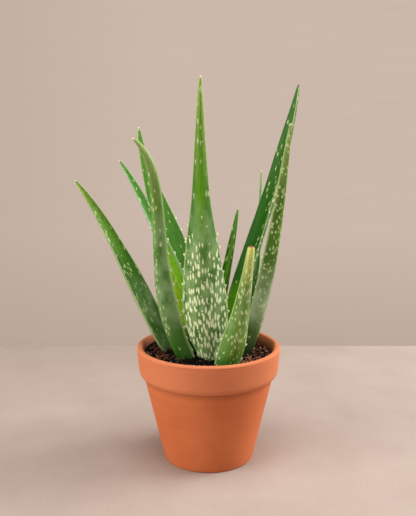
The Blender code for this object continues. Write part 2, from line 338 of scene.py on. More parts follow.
def leaf_sections(leaf):
    """(centre, direction, face, width, thickness, millimetres from the root) all along a leaf."""
    root = Vector((leaf["root"][0] * MM, leaf["root"][1] * MM, LEAF_ROOT_Z))
    points = [root] + [Vector(p) * MM for p in (*leaf["handles"], leaf["tip"])]
    # Below the soil the leaf bends outwards from the stem, and up at a knee into its visible spine.
    rise = (points[1] - root).normalized()
    out = Vector((root.x - STEM_CENTRE.x, root.y - STEM_CENTRE.y, 0)).normalized()
    start = STEM_CENTRE + out * (STEM_RADIUS + ATTACH_GAP)
    start.z = leaf["attach_z"] * MM
    knee = root - rise * ((root.z - start.z) * 0.55)
    knee.z = lerp(knee.z, lerp(start.z, knee.z, 0.5), 0.5)
    centres, shares = [], []
    for i in range(BURIED_RINGS):
        t = i / BURIED_RINGS
        centres.append(start * (1 - t) ** 2 + knee * (2 * t * (1 - t)) + root * t * t)
        shares.append((t, 0.0))
    fine = [bezier(points, i / SPINE_SAMPLES) for i in range(SPINE_SAMPLES + 1)]
    travel = np.cumsum([0.0] + [(b - a).length for a, b in zip(fine, fine[1:])])
    count = ceil(travel[-1] / RING_STEP)
    for i in range(count + 1):
        t = float(np.interp(travel[-1] * i / count, travel, np.linspace(0, 1, SPINE_SAMPLES + 1)))
        centres.append(bezier(points, t))
        shares.append((1.0, t))
    widest = max(leaf["widths"]) * MM
    widths = [w * MM for w in leaf["widths"]]
    tip_width = leaf.get("tip_width", 2 * TIP_RADIUS / MM) * MM
    sections = []
    for i, centre in enumerate(centres):
        ahead = centres[min(i + 1, len(centres) - 1)]
        direction = (ahead - centres[max(i - 1, 0)]).normalized()
        share, t = shares[i]
        angle = radians(lerp(leaf["face"][0], leaf["face"][1], t))
        face = Vector((cos(angle), sin(angle), 0))
        width = width_at(widths, tip_width, t)
        thickness = leaf["thickness"] * MM * (width / widest) ** 0.75
        if share < 1:
            face = (face * share - out * (1 - share)).normalized()
            width = lerp(ATTACHED_WIDTH, width, share)
            grown = leaf["thickness"] * MM * (width / widest) ** 0.75
            thickness = lerp(ATTACHED_WIDTH / 2, grown, share)
        face = (face - direction * face.dot(direction)).normalized()
        along = travel[-1] * (i - BURIED_RINGS) / count if share == 1 else -(BURIED_RINGS - i) * MM
        # The last rings close to a small round end.
        to_end = travel[-1] - along
        blunt = tip_width / 2
        closing = sqrt(max(0.03, 1 - (1 - to_end / blunt) ** 2)) if to_end < blunt else 1.0
        sections.append((centre, direction, face, width * closing, thickness * closing, along / MM, t))
    return sections, travel[-1] / MM


def tooth_heights(count, length_mm, up_to, dice):
    """How far the horn at each ring stands out, from 0 to 1, on one margin. Teeth shrink towards the
    tip, and the margin is smooth beyond the share up_to of the leaf's length."""
    heights = np.zeros(count)
    step = length_mm / count
    place = dice.uniform(5, 11)
    while place < length_mm * up_to:
        size = min(1.0, 0.6 + 0.01 * place) * (1 - 0.55 * place / length_mm) * dice.uniform(0.75, 1.1)
        peak = round(place / step)
        reach = TOOTH_HALF_LENGTH / MM / step
        for k in range(max(0, peak - 4), min(count, peak + 5)):
            rise = 1 - abs(k - peak) / (reach if k >= peak else reach * 1.4)
            heights[k] = max(heights[k], size * max(0.0, rise) ** 1.2)
        place += TOOTH_SPACING / MM * dice.uniform(0.8, 1.2)
    return heights


def leaf_mesh(leaf, seed):
    """Points, faces and what the skin reads at each point: its place (millimetres across, millimetres
    along with the face's offset, and 0 on the back to 1 on the face), its zone (share of the length,
    share of the half width, density of spots) and how much of it is horn."""
    dice = Random(seed)
    sections, length_mm = leaf_sections(leaf)
    above = [k for k, section in enumerate(sections) if section[5] >= 0]
    teeth = {}
    for side in (1, -1):
        teeth[side] = np.zeros(len(sections))
        teeth[side][above[0] :] = tooth_heights(len(above), length_mm, leaf.get("toothed", 0.6), dice)
    back = [cos(pi * i / (BACK_POINTS - 1)) for i in range(BACK_POINTS)]
    front = [-cos(pi * (i + 0.5) / FACE_POINTS) for i in range(FACE_POINTS)]
    # Once round a section, each point as its place across, from -1 to 1, and its part: 0 for the back,
    # 1 for the face and 2 for the two margins.
    ring = [(u, 0) for u in back] + [(-1.0, 2)] + [(u, 1) for u in front] + [(1.0, 2)]
    points, places, zones, horns = [], [], [], []
    for k, (centre, direction, face, width, thickness, along, t) in enumerate(sections):
        across = direction.cross(face)
        half = width / 2
        margin = min(MARGIN_THICKNESS, width * 0.3)
        curl = leaf["channel"] * half
        for u, part in ring:
            horn = teeth[1 if u > 0 else -1][k] if abs(u) > 0.999 else 0.0
            wave = noise.noise(Vector((u * 1.4, along / 16, seed))) * SKIN_WAVE * min(1, half / (5 * MM))
            push = half * u
            if part == 0:
                level = curl * u * u - margin / 2 - (1 - u * u) ** 0.7 * thickness * BACK_SHARE - wave
                push += horn * 0.25 * TOOTH_REACH * u
            elif part == 1:
                level = curl * u * u + margin / 2 + (1 - u * u) ** 0.8 * thickness * (1 - BACK_SHARE) + wave
            else:
                level = curl * u * u
                push += (margin * 0.4 + horn * TOOTH_REACH) * u
            hook = direction * (horn * 0.55 * TOOTH_REACH)
            points.append(centre + across * push + face * level + hook)
            inner = (0.0, 1.0, 0.5)[part]
            places.append((half * u / MM, along + FACE_OFFSET_MM * inner, inner))
            even_steps = np.linspace(0, 1, len(leaf["spots"]))
            density = float(np.interp(t, even_steps, leaf["spots"])) * (1 + u * leaf.get("lean", 0.0))
            zones.append((along / length_mm, abs(u), max(0.0, density)))
            horns.append(horn if part == 2 else 0.0)
    columns = len(ring)
    faces = []
    for i in range(len(sections) - 1):
        for j in range(columns):
            m = (j + 1) % columns
            faces.append((i * columns + j, i * columns + m, (i + 1) * columns + m, (i + 1) * columns + j))
    faces.append(tuple(reversed(range(columns))))
    faces.append(tuple(range((len(sections) - 1) * columns, len(sections) * columns)))
    return points, faces, places, zones, horns


def aloe_skin(name, leaf):
    """Aloe skin: a thick waxy cuticle over wet green flesh, so it is satin rather than glossy and light
    goes a little way in. A painted glow, yellow-green along the middle, stands in for light shining
    through the thin flesh. Low on the leaf the wax is a blue-grey bloom that rubs off in patches; fine
    veins run lengthwise, pale oval spots lie in loose bands across, and the margin and its teeth are
    cream horn."""
    looks = {"back": "#548c32", "face": "#3d7c1e", "foot": "#2c6a16", "tip": "#86a63c"}
    looks.update(bloom="#83a570", glow="#6cb00c", spot="#d3e0a0", dry="#dcd5a6", edge="#a8bd80")
    looks.update(leaf.get("looks", {}))
    gloss = leaf.get("gloss", 0.25)
    material, tree, shader = new_material(name, IOR=1.45, Subsurface_Weight=0.1, Specular_IOR_Level=gloss)
    shader.inputs["Subsurface Radius"].default_value = (1.0, 1.6, 0.5)
    shader.inputs["Subsurface Scale"].default_value = 1.0 * MM
    place = add(tree, "Attribute", attribute_name="leaf_place").outputs["Vector"]
    side = add(tree, "SeparateXYZ", {0: place}).outputs["Z"]
    zones = add(tree, "Attribute", attribute_name="leaf_zone").outputs["Vector"]
    length, breadth, density = add(tree, "SeparateXYZ", {0: zones}).outputs

    # Patches this many millimetres across and along the leaf. The flecks stand for skin cells, which
    # are finer than this, so they are drawn as coarse as they need to show.
    patches = {}
    for patch, across, along, detail in (
        ("veins", 1.0, 32, 3.0),
        ("cloud", 8, 18, 5.0),
        ("flecks", 1.6, 4.5, 3.0),
        ("clumps", 10, 11, 2.0),
    ):
        at = add(tree, "Mapping", {"Vector": place, "Scale": (1 / across, 1 / along, 0)}).outputs[0]
        patches[patch] = add(tree, "TexNoise", {"Vector": at, "Scale": 1.0, "Detail": detail}).outputs["Fac"]
    cloud = patches["cloud"]
    wander = add(tree, "Math", {0: cloud, 1: 0.16, 2: length}, operation="MULTIPLY_ADD").outputs[0]

    # One spot at most in each cell of a net that is stretched along the leaf.
    wide, long = leaf.get("spot", (2.6, 7.0))
    shake = add(tree, "TexNoise", {"Vector": place, "Scale": 0.3, "Detail": 1.0}).outputs["Color"]
    moved = {0: 1.2, 6: place, 7: shake}
    shaken = add(tree, "Mix", moved, data_type="RGBA", blend_type="ADD", clamp_factor=False).outputs[2]
    net = add(tree, "Mapping", {"Vector": shaken, "Scale": (1 / wide, 1 / long, 0)}).outputs[0]
    cells = add(tree, "TexVoronoi", {"Vector": net, "Scale": 1.0}, voronoi_dimensions="2D")
    chance, luck, _ = add(tree, "SeparateColor", {0: cells.outputs["Color"]}).outputs
    horn = add(tree, "Attribute", attribute_name="tooth").outputs["Fac"]

    tip_from = leaf.get("tip_from", 0.62)
    foot_to = leaf.get("foot_to", 0.21)
    glow_start, glow_end, glow_most = leaf.get("glow", (0.45, 0.9, 0.35))
    glow_middle = (glow_start + glow_end) / 2
    bloom_low, bloom_high = leaf.get("bloomed", (0.12, 0.6))
    rubbed = leaf.get("rubbed", 0.06)
    pale = leaf.get("pale", 0.8)
    # For each share: what it reads, the two readings between which it changes, and its value at each.
    share = {}
    for key, reading, start, end, low, high in (
        ("tip", wander, tip_from, min(tip_from + 0.44, 1.06), 0, 0.95),
        ("glow_rises", wander, glow_start, glow_middle, 0, 1),
        ("glow_falls", wander, glow_end + 0.08, glow_middle, 0, 1),
        ("glow_centred", breadth, 0.72, 0.2, 0, glow_most),
        ("foot", wander, foot_to, foot_to - 0.11, 0, leaf.get("foot", 0.85)),
        ("veins", patches["veins"], 0.4, 0.75, 0, leaf.get("veined", 0.5)),
        ("flecks", patches["flecks"], 0.5, 0.8, 0, 0.5),
        ("bloom_ends", length, bloom_high, bloom_high - 0.18, 0, leaf.get("waxy", 0.6)),
        ("bloom_starts", length, bloom_low - 0.04, bloom_low + 0.04, 0.1, 1),
        ("bloom_left", cloud, 0.48 - rubbed, 0.48 + rubbed, 0.15, 1),
        ("clumped", patches["clumps"], 0.38, 0.62, 0.35, 1.5),
        ("larger", density, 0.8, 1.8, 0, 0.12),
        ("lucky", luck, 0, 1, -0.09, 0.07),
        ("spot_strength", length, 0.45, 0.6, pale, leaf.get("pale_above", pale)),
        ("edge", breadth, leaf.get("edge_from", 0.965), 1.0, 0, 0.75),
        ("horn", horn, 0.05, 0.3, 0, 1),
        ("dry", length, leaf.get("dries", 0.99), 0.997, 0, 1),
    ):
        share[key] = add(tree, "MapRange", {0: reading, 1: start, 2: end, 3: low, 4: high}).outputs[0]
    # Sums and products, each made from the ones before it.
    share.update(density=density, chance=chance, distance=cells.outputs["Distance"])
    for key, operation, first, second in (
        ("glow_along", "MULTIPLY", "glow_rises", "glow_falls"),
        ("glow", "MULTIPLY", "glow_along", "glow_centred"),
        ("waxed", "MULTIPLY", "bloom_ends", "bloom_starts"),
        ("bloom", "MULTIPLY", "waxed", "bloom_left"),
        ("allowed", "MULTIPLY", "density", "clumped"),
        ("kept", "GREATER_THAN", "allowed", "chance"),
        ("size", "ADD", "larger", "lucky"),
        ("far", "SUBTRACT", "distance", "size"),
        ("kept_strength", "MULTIPLY", "kept", "spot_strength"),
    ):
        share[key] = add(tree, "Math", {0: share[first], 1: share[second]}, operation=operation).outputs[0]
    near = add(tree, "MapRange", {0: share["far"], 1: 0.42, 2: 0.18}).outputs[0]
    spot = add(tree, "Math", {0: share["kept_strength"], 1: near}, operation="MULTIPLY").outputs[0]

    # The colours lie over one another in this order, each in its own share. The glow is painted light, and on
    # some leaves the foot and looks paint shade or light too.
    skin = srgb(looks["back"])
    for laid, code, blend in (
        (side, looks["face"], "MIX"),
        (share["tip"], looks["tip"], "MIX"),
        (share["glow"], looks["glow"], "MIX"),
        (share["foot"], looks["foot"], "MIX"),
        (share["veins"], "#7f9a66", "MULTIPLY"),
        (share["flecks"], "#86a070", "MULTIPLY"),
        (share["bloom"], looks["bloom"], "MIX"),
        (spot, looks["spot"], "MIX"),
        (share["edge"], looks["edge"], "MIX"),
        (share["horn"], "#eff0d8", "MIX"),
        (share["dry"], looks["dry"], "MIX"),
    ):
        layer = {0: laid, 6: skin, 7: srgb(code)}
        skin = add(tree, "Mix", layer, data_type="RGBA", blend_type=blend).outputs[2]
    tree.links.new(skin, shader.inputs["Base Color"])
    # Bloom is a powder, so it is rougher than the bare cuticle.
    rough = add(tree, "MapRange", {0: share["bloom"], 3: 0.37, 4: 0.6}).outputs[0]
    tree.links.new(rough, shader.inputs["Roughness"])
    relief = add(tree, "Math", {0: patches["veins"], 1: patches["flecks"]}, operation="ADD").outputs[0]
    raised = add(tree, "Math", {0: spot, 1: 0.5, 2: relief}, operation="MULTIPLY_ADD").outputs[0]
    bump = add(tree, "Bump", {"Height": raised, "Strength": 0.25, "Distance": 0.25 * MM}).outputs[0]
    tree.links.new(bump, shader.inputs["Normal"])
    return material


# Millimetres about the pot's axis, and shares of the length unless it says otherwise.
# - Shape: handles shape the spine between root and tip. face is the way the inner side looks, in degrees
#   from the right, at root and tip. widths are at 0, 20, 40, 60 and 80% of the length. attach_z is the
#   height of the joint with the stem. toothed is how far up the teeth go.
# - Spots: spots says how thick they lie at even steps of the length, and spot how far apart they are
#   across and along. pale is how strongly they show (pale_above beyond the middle), and lean how much
#   more of them one margin has.
# - Bloom: waxy is its strength, bloomed where it starts and ends, and rubbed how softly it is rubbed off.
# - Colour: glow is where the painted glow, light through the flesh, starts and ends, and its strength. The
#   foot colour, of strength foot, goes up to foot_to. The tip colour starts from tip_from, and dry skin
#   from dries. edge_from is a share of the half width. veined and gloss are strengths. looks replaces
#   colours of aloe_skin.
LEAVES = {
    "leaf_front_centre": dict(
        root=(2, -17), handles=((-6.2, -18, 150), (-8, -28, 266)), tip=(-6.4, -38, 339), face=(90, 90),
        widths=(16, 38, 31.5, 16, 8), thickness=11, channel=0.20, attach_z=70, toothed=0.5,
        spots=(1.2, 1.45, 1.3, 1.05, 0.85, 0.2, 0.05, 0.08, 0.18, 0.24, 0.2), spot=(2.1, 7.6), pale=0.95,
        pale_above=0.4,
        waxy=0.75, bloomed=(-0.1, 0.62), rubbed=0.1, glow=(0.42, 0.92, 0.9), foot=0.8, foot_to=0.16,
        veined=0.3, gloss=0.15,
        looks={
            "back": "#3b6e20", "spot": "#e2eec4", "foot": "#2f7018", "bloom": "#8bab72",
            "tip": "#82a243", "glow": "#60a00e",
        },
    ),
    "leaf_far_left": dict(
        root=(-37, 9), handles=((-61.5, 9, 147), (-87.5, 6, 213)), tip=(-117.5, 2, 253.5),
        face=(-40, -50),
        widths=(13, 18, 17, 12, 7.5), thickness=8, channel=0.34, attach_z=62, toothed=0.05,
        spots=(0.1, 0.24, 0.3, 0.28, 0.18, 0.1), spot=(1.9, 6.5), pale=0.65, lean=-1.0,
        waxy=0.8, bloomed=(-0.1, 0.48), rubbed=0.14, foot=0.35, foot_to=0.12,
        edge_from=0.93, gloss=0.12,
        looks={"face": "#42762a", "tip": "#749432", "bloom": "#8aa878", "edge": "#b4cc8c"},
    ),
    # Painted highlight: its pale margin is the horn's own colour, widened to paint the light along its lit
    # left edge.
    "leaf_front_left": dict(
        root=(-20.5, -11), handles=((-59, -11, 171), (-28, -19, 262)), tip=(-63, -28, 290), face=(55, 60),
        widths=(17, 19.5, 14, 11, 8), thickness=9, channel=0.30, attach_z=74,
        spots=(0.05, 0.25, 0.36, 0.34, 0.24, 0.1), spot=(1.8, 5.5), pale=0.7, lean=1.0,
        waxy=0.72, bloomed=(0.16, 0.72), rubbed=0.1, glow=(0.45, 0.95, 0.3), foot=0.9,
        edge_from=0.93,
        looks={"foot": "#1f660f", "back": "#4d7c2e", "bloom": "#8aaa78", "tip": "#8ea35c"},
    ),
    # Painted light and shade: the face is painted bright yellow-green for light through the flesh, the foot
    # dark for the shade it stands in, and the broad bluish edge for light catching the far margin.
    "leaf_back_left_short": dict(
        root=(-13, 11), handles=((-23.5, 14, 151.5), (-52.5, 20, 230)), tip=(-81.3, 26, 270),
        face=(-55, -60),
        widths=(17, 19.5, 17, 9.5, 7), thickness=6, channel=0.30, attach_z=79, toothed=0.7,
        spots=(0, 0, 0, 0.15, 0.35, 0.2), spot=(1.8, 5.5),
        waxy=0.0, glow=(-0.2, 0.5, 1.0), foot=1.0, foot_to=0.30,
        tip_from=0.34, edge_from=0.66,
        looks={
            "face": "#9ad824", "foot": "#2c5c14", "tip": "#4c8a38", "glow": "#a2e01c", "edge": "#a9c4a4",
        },
    ),
    "leaf_back_left_tall": dict(
        root=(-8, 20), handles=((-13, 27.5, 166), (-58, 40, 228)), tip=(-65.5, 52, 300.5),
        face=(-75, -75),
        widths=(16, 24, 26, 20, 9.5), thickness=6, channel=0.22, attach_z=66,
        spots=(0, 0, 0.02, 0.03, 0.15, 0.15), spot=(1.8, 5),
        waxy=0.1, glow=(0.2, 0.8, 0.4),
        looks={"face": "#589437", "tip": "#5f9742", "glow": "#5ba032"},
    ),
    # Painted light and shade: the whole leaf is painted bright yellow-green for light through the flesh, and
    # its foot dark green for the shade it stands in.
    "leaf_inner_left": dict(
        root=(-8, 3), handles=((-25, 3, 133), (-39, 2, 172.5)), tip=(-47, 1, 213), face=(-45, -50),
        widths=(12, 15, 13.5, 10.5, 7), thickness=5, channel=0.25, attach_z=87, toothed=0.5,
        spots=(0, 0, 0, 0.1, 0.1, 0),
        waxy=0.0, glow=(-0.2, 0.9, 1.0), foot=1.0, foot_to=0.34,
        looks={
            "face": "#b0e034", "back": "#a8d83c", "foot": "#2c5c14", "glow": "#b4e424", "tip": "#9cc45c",
            "edge": "#bcd4a8",
        },
    ),
    # Painted shade: face and back are painted darker green for a leaf in shade, lit only from behind.
    "leaf_back_right_small": dict(
        root=(7, 26), handles=((10, 29, 138), (21.5, 39, 182)), tip=(28, 48, 224), face=(-110, -120),
        widths=(10, 11, 9.5, 8, 5.5), thickness=5, channel=0.30, attach_z=84, toothed=0.4,
        spots=(0, 0.05, 0.15, 0.2, 0.25, 0.2), spot=(1.6, 6), pale=0.6,
        waxy=0.0, glow=(0.3, 0.95, 0.5),
        gloss=0.1,
        looks={"face": "#265408", "back": "#2c5c14", "tip": "#4f8420", "edge": "#4c7a30"},
    ),
    # Painted shade and light: the face is painted dark green for shade, and the foot bright yellow-green for
    # light through the flesh.
    "leaf_back_right_tall": dict(
        root=(14, 9), handles=((32, 14, 175), (66, 24, 253)), tip=(81.3, 34, 337.5), face=(215, 215),
        widths=(16, 20.5, 19, 15.5, 12.5), thickness=7, channel=0.34, attach_z=85,
        spots=(0, 0.05, 0.12, 0.18, 0.3, 0.25), spot=(1.9, 5.5), pale=0.7, lean=1.0,
        waxy=0.0, glow=(-0.2, 0.38, 1.0), foot=0.9, foot_to=0.36,
        gloss=0.1,
        looks={
            "face": "#235f06", "back": "#4a7c34", "foot": "#6ca80c", "tip": "#4a7238", "glow": "#4f9404",
            "edge": "#a4bc88", "dry": "#35682a",
        },
    ),
    # Painted shadow and light: the foot is painted near black for the shadow of the front right short leaf,
    # and the bloom, real wax, is painted paler for light from the right.
    "leaf_front_right_tall": dict(
        root=(33, -3), handles=((56.5, -4, 174), (60.5, -8, 233.5)), tip=(69, -14, 302), face=(140, 145),
        widths=(12, 17.5, 15.5, 11.5, 7), thickness=8, channel=0.30, attach_z=66,
        spots=(0.05, 0.2, 0.4, 0.75, 0.5, 0.5), spot=(1.5, 4.4), pale=0.62,
        waxy=0.85, bloomed=(0.165, 0.44), rubbed=0.2, foot=1.0,
        tip_from=0.76,
        looks={
            "foot": "#15300f", "back": "#4a7028", "tip": "#94b05e", "bloom": "#bcd0ac",
            "spot": "#cedb9a",
        },
    ),
    "leaf_back_right_thin": dict(
        root=(26, 21), handles=((48, 26, 152), (48.5, 38, 203)), tip=(49.8, 48, 260), face=(-130, -130),
        widths=(11, 13, 10, 6, 3.5), thickness=5, channel=0.30, attach_z=70,
        spots=(0, 0.2, 0.3, 0.3, 0.3, 0.2), spot=(1.6, 5.5), pale=0.7,
        waxy=0.4,
        edge_from=0.8,
        looks={"face": "#548842", "tip": "#7f9f5c", "edge": "#bccfa2"},
    ),
    "leaf_front_right_short": dict(
        root=(15.7, -32), handles=((27.3, -32, 130), (31.7, -38, 168)), tip=(35.5, -44, 202.5),
        face=(100, 100),
        widths=(21, 21.5, 15.8, 11.8, 8.2), thickness=8, channel=0.20, attach_z=62, tip_width=5,
        toothed=0.3,
        spots=(0.5, 0.5, 0.5, 0.75, 0.5, 0.0), spot=(1.8, 5.6), pale=0.68,
        waxy=0.45, bloomed=(0.22, 0.85), glow=(0.05, 0.75, 0.35),
        tip_from=0.72, dries=0.98,
        looks={
            "back": "#5a8830", "foot": "#2a6a12", "tip": "#d8da7e", "dry": "#84432c", "bloom": "#859d6a",
            "glow": "#768f16",
        },
    ),
}

# Closed surfaces of the leaves, which the soil is kept clear of.
leaf_solids = []
for number, (node, leaf) in enumerate(LEAVES.items()):
    points, faces, places, zones, horns = leaf_mesh(leaf, number + 1)
    leaf_solids.append(BVHTree.FromPolygons(points, faces))
    skin = aloe_skin(node.replace("leaf", "aloe_skin"), leaf)
    made = piece(node + "_skin", points, faces, skin, replaced=[node])
    for name, rows in (("leaf_place", places), ("leaf_zone", zones)):
        attribute = made.data.attributes.new(name, "FLOAT_VECTOR", "POINT")
        attribute.data.foreach_set("vector", np.asarray(rows, np.float32).ravel())
    attribute = made.data.attributes.new("tooth", "FLOAT", "POINT")
    attribute.data.foreach_set("value", np.asarray(horns, np.float32))


# ---- Potting soil ------------------------------------------------------------------------------
# The real piece: peat and shredded bark, tipped in loose round the plant and firmed by hand a little
# below the lip. Damp peat is nearly black; bark slivers, hair roots and a few pale grains lie on it.

SOIL_RINGS = 96
SOIL_SEGMENTS = 280
SOIL_GAP = 0.3 * MM
HEAP_RADIUS = 54 * MM
BED_BELOW = 1.2 * MM
# The pot was filled from the back left, so the soil is banked up there and lower in front.
BANK_HEIGHT, BANK_START, BANK_WIDTH = 3.5 * MM, 40 * MM, 14 * MM
FRONT_DROP, FRONT_WIDTH = 1.6 * MM, 40 * MM


def clear_of_leaves(place, gap):
    """Whether a place about the pot's axis is outside every leaf, and this far from it."""
    for solid in leaf_solids:
        nearest, normal, _, distance = solid.find_nearest(place, 12 * MM)
        if nearest is not None and (distance < gap or (place - nearest).dot(normal) < 0):
            return False
    return True


def soil_height(x, y):
    """Height of the heaped, lumpy soil at a place about the pot's axis."""
    r = sqrt(x * x + y * y)
    heap = lerp(SOIL_CROWN_Z, SOIL_EDGE_Z, min(1.0, r / HEAP_RADIUS) ** 2) - BED_BELOW
    bank = min(1.0, max(0.0, (0.4 * y - 0.9 * x) / r)) if r else 0.0
    heap += BANK_HEIGHT * bank * min(1.0, max(0.0, (r - BANK_START) / BANK_WIDTH))
    heap -= FRONT_DROP * min(1.0, max(0.0, -y / FRONT_WIDTH))
    # Lumps, crumbs and grains: how high each stands and how far across it is, in millimetres.
    sizes = ((1.6, 9), (1.2, 3.6), (0.5, 1.5))
    rough = [high * noise.noise(Vector((x, y, k)) / (wide * MM)) for k, (high, wide) in enumerate(sizes)]
    return heap + sum(rough) * MM


def soil_bed_points():
    """The filling of the pot: lumpy top, sides along the wall, level underside."""
    edge = pot_inner_radius(SOIL_EDGE_Z) - SOIL_GAP
    rings = [(edge * (i + 1) / SOIL_RINGS, None) for i in range(SOIL_RINGS)]
    floor = FLOOR_THICKNESS + SOIL_GAP
    side = [(pot_inner_radius(z) - SOIL_GAP, z) for z in (POT_HEIGHT - RIM_DEPTH, floor + 3 * MM)]
    rings += side + [(pot_inner_radius(floor) - 3.3 * MM, floor), (2 * MM, floor)]
    points = []
    for r, z in rings:
        for j in range(SOIL_SEGMENTS):
            a = 2 * pi * j / SOIL_SEGMENTS
            x, y = r * cos(a), r * sin(a)
            points.append((x, y, soil_height(x, y) if z is None else z))
    return points, len(rings)


def damp_peat(name, dark, light, roughness):
    """Damp peat and bark: crumbly and matt, near black where wet and red-brown where a sliver has
    dried. Each piece has a shade of its own, darkened by painted shade where the leaves shadow the
    soil, and fine fibres show as grain."""
    material, tree, shader = new_material(name, Roughness=roughness, Specular_IOR_Level=0.15)
    place = add(tree, "TexCoord").outputs["Object"]
    own = add(tree, "Attribute", attribute_name="shade").outputs["Fac"]
    grain = add(tree, "TexNoise", {"Vector": place, "Scale": 1 / (1.2 * MM), "Detail": 4.0}).outputs["Fac"]
    patch = add(tree, "Math", {0: grain, 1: own}, operation="MULTIPLY").outputs[0]
    share = add(tree, "MapRange", {0: patch, 1: 0.12, 2: 0.62}).outputs[0]
    colour = add(tree, "Mix", {0: share, 6: srgb(dark), 7: srgb(light)}, data_type="RGBA").outputs[2]
    tree.links.new(colour, shader.inputs["Base Color"])
    bump = add(tree, "Bump", {"Height": grain, "Strength": 0.6, "Distance": 0.5 * MM}).outputs[0]
    tree.links.new(bump, shader.inputs["Normal"])
    return material


def painted_leaf_shade(x):
    """Painted shade on the soil: darkest in the leaves' shadow down the middle, and lighter on the right than
    on the left, where more light falls.
    """
    shaded, dried_over = 14 * MM, 20 * MM
    return lerp(0.1, 1.25 if x > 0 else 0.85, min(1.0, max(0.0, (abs(x) - shaded) / dried_over)))


def shade_points(made, shades):
    """Gives each point its own shade, from 0, dark, to 1, light: its own tone together with the painted shade
    of the leaves.
    """
    attribute = made.data.attributes.new("shade", "FLOAT", "POINT")
    attribute.data.foreach_set("value", np.asarray(shades, np.float32))


bed_points, bed_rings = soil_bed_points()
bed_faces = grid_faces(bed_rings, SOIL_SEGMENTS, False)
first = tuple(range(SOIL_SEGMENTS))
last = tuple(range((bed_rings - 1) * SOIL_SEGMENTS, bed_rings * SOIL_SEGMENTS))
bed = piece(
    "soil_bed",
    bed_points,
    bed_faces + [first, last[::-1]],
    damp_peat("damp_peat", "#060403", "#1c110d", 0.95),
    replaced=["potting_soil"],
)
# The bed's shade is painted shade, darkest where the leaves shadow it.
shade_points(bed, [0.8 * painted_leaf_shade(point[0]) for point in bed_points])


def scatter(count, lumps, size, lift, tilt, seed, shade):
    """Many small pieces lying on the soil. lumps is one piece's outline, size gives its three half
    lengths in millimetres as ranges, lift how far it stands out, tilt how steeply it may lie, and
    shade the range of each piece's own tone, which the painted shade of the leaves then darkens."""
    dice = Random(seed)
    points, faces, shades = [], [], []
    outline, sides = lumps
    reach = pot_inner_radius(SOIL_EDGE_Z) - 1.5 * MM
    for _ in range(count):
        half = [dice.uniform(*span) * MM for span in size]
        r, a = (reach - half[0] * 0.6) * sqrt(dice.random()), dice.uniform(0, 2 * pi)
        x, y = r * cos(a), r * sin(a)
        angles = (dice.uniform(-tilt, tilt), dice.uniform(-tilt, tilt), dice.uniform(0, 2 * pi))
        turn = Euler(angles).to_matrix()
        centre = Vector((x, y, soil_height(x, y) + half[2] * lift))
        if not clear_of_leaves(centre, half[0] * 0.5):
            continue
        # A piece's own tone, darkened by the painted shade of the leaves.
        start, own = len(points), dice.uniform(*shade) ** 1.4 * painted_leaf_shade(x)
        for corner in outline:
            rough = [1 + dice.uniform(-0.22, 0.22) for _ in range(3)]
            local = Vector([corner[k] * half[k] * rough[k] for k in range(3)])
            points.append(tuple(centre + turn @ local))
            shades.append(own)
        faces += [tuple(start + k for k in side) for side in sides]
    return points, faces, shades


# A sliver is a flat six-sided splinter, and a crumb a twelve-cornered lump.
SPLINTER = ((1, 0.1), (0.7, 0.8), (-0.6, 1), (-1, -0.2), (-0.5, -0.9), (0.6, -0.8))
SPLINTER_SIDES = [(i, (i + 1) % 6, 6 + (i + 1) % 6, 6 + i) for i in range(6)]
SLIVER = (
    [(x, y, z) for z in (-1, 1) for x, y in SPLINTER],
    [tuple(range(5, -1, -1)), tuple(range(6, 12))] + SPLINTER_SIDES,
)


def crumb():
    """Corners and faces of an icosahedron."""
    g = (1 + sqrt(5)) / 2
    corners = [(s, t * g, 0) for s in (-1, 1) for t in (-1, 1)]
    corners += [(0, s, t * g) for s in (-1, 1) for t in (-1, 1)]
    corners += [(t * g, 0, s) for s in (-1, 1) for t in (-1, 1)]
    corners = [tuple(Vector(c).normalized()) for c in corners]
    edge = min((Vector(a) - Vector(b)).length for a in corners for b in corners if a != b) * 1.01
    faces = []
    for i in range(12):
        for j in range(i + 1, 12):
            for k in range(j + 1, 12):
                a, b, c = (Vector(corners[n]) for n in (i, j, k))
                if max((a - b).length, (b - c).length, (a - c).length) < edge:
                    outward = (b - a).cross(c - a).dot(a) > 0
                    faces.append((i, j, k) if outward else (i, k, j))
    return corners, faces


bark = damp_peat("shredded_bark", "#080504", "#cc8460", 0.75)
for name, count, shape, size, lift, tilt, seed, shade in (
    ("bark_slivers", 1300, SLIVER, ((1.6, 5.0), (0.2, 0.6), (0.18, 0.4)), 2.2, 0.6, 3, (0.1, 1.0)),
    ("bark_chips", 110, SLIVER, ((2.0, 3.8), (1.0, 1.8), (0.3, 0.7)), 1.3, 0.9, 5, (0.0, 0.7)),
    ("peat_crumbs", 1500, crumb(), ((0.4, 1.3), (0.4, 1.1), (0.35, 0.9)), 0.6, 3, 7, (0.0, 0.35)),
):
    points, faces, shades = scatter(count, shape, size, lift, tilt, seed, shade)
    made = piece(name, points, faces, bark, smooth=False)
    shade_points(made, shades)


def pumice():
    """Crushed pumice: dry, porous and off-white, mixed in to keep the peat open."""
    material, tree, shader = new_material("crushed_pumice", Roughness=0.95)
    place = add(tree, "TexCoord").outputs["Object"]
    holes = add(tree, "TexNoise", {"Vector": place, "Scale": 1 / (0.5 * MM), "Detail": 3.0}).outputs["Fac"]
    colour = add(tree, "Mix", {0: holes, 6: srgb("#b9a28f"), 7: srgb("#efe3d4")}, data_type="RGBA").outputs[2]
    tree.links.new(colour, shader.inputs["Base Color"])
    bump = add(tree, "Bump", {"Height": holes, "Strength": 0.8, "Distance": 0.3 * MM}).outputs[0]
    tree.links.new(bump, shader.inputs["Normal"])
    return material


points, faces, _ = scatter(46, crumb(), ((0.45, 0.85), (0.4, 0.75), (0.35, 0.65)), 2.2, 3, 9, (1, 1))
piece("pumice_grains", points, faces, pumice(), smooth=False)


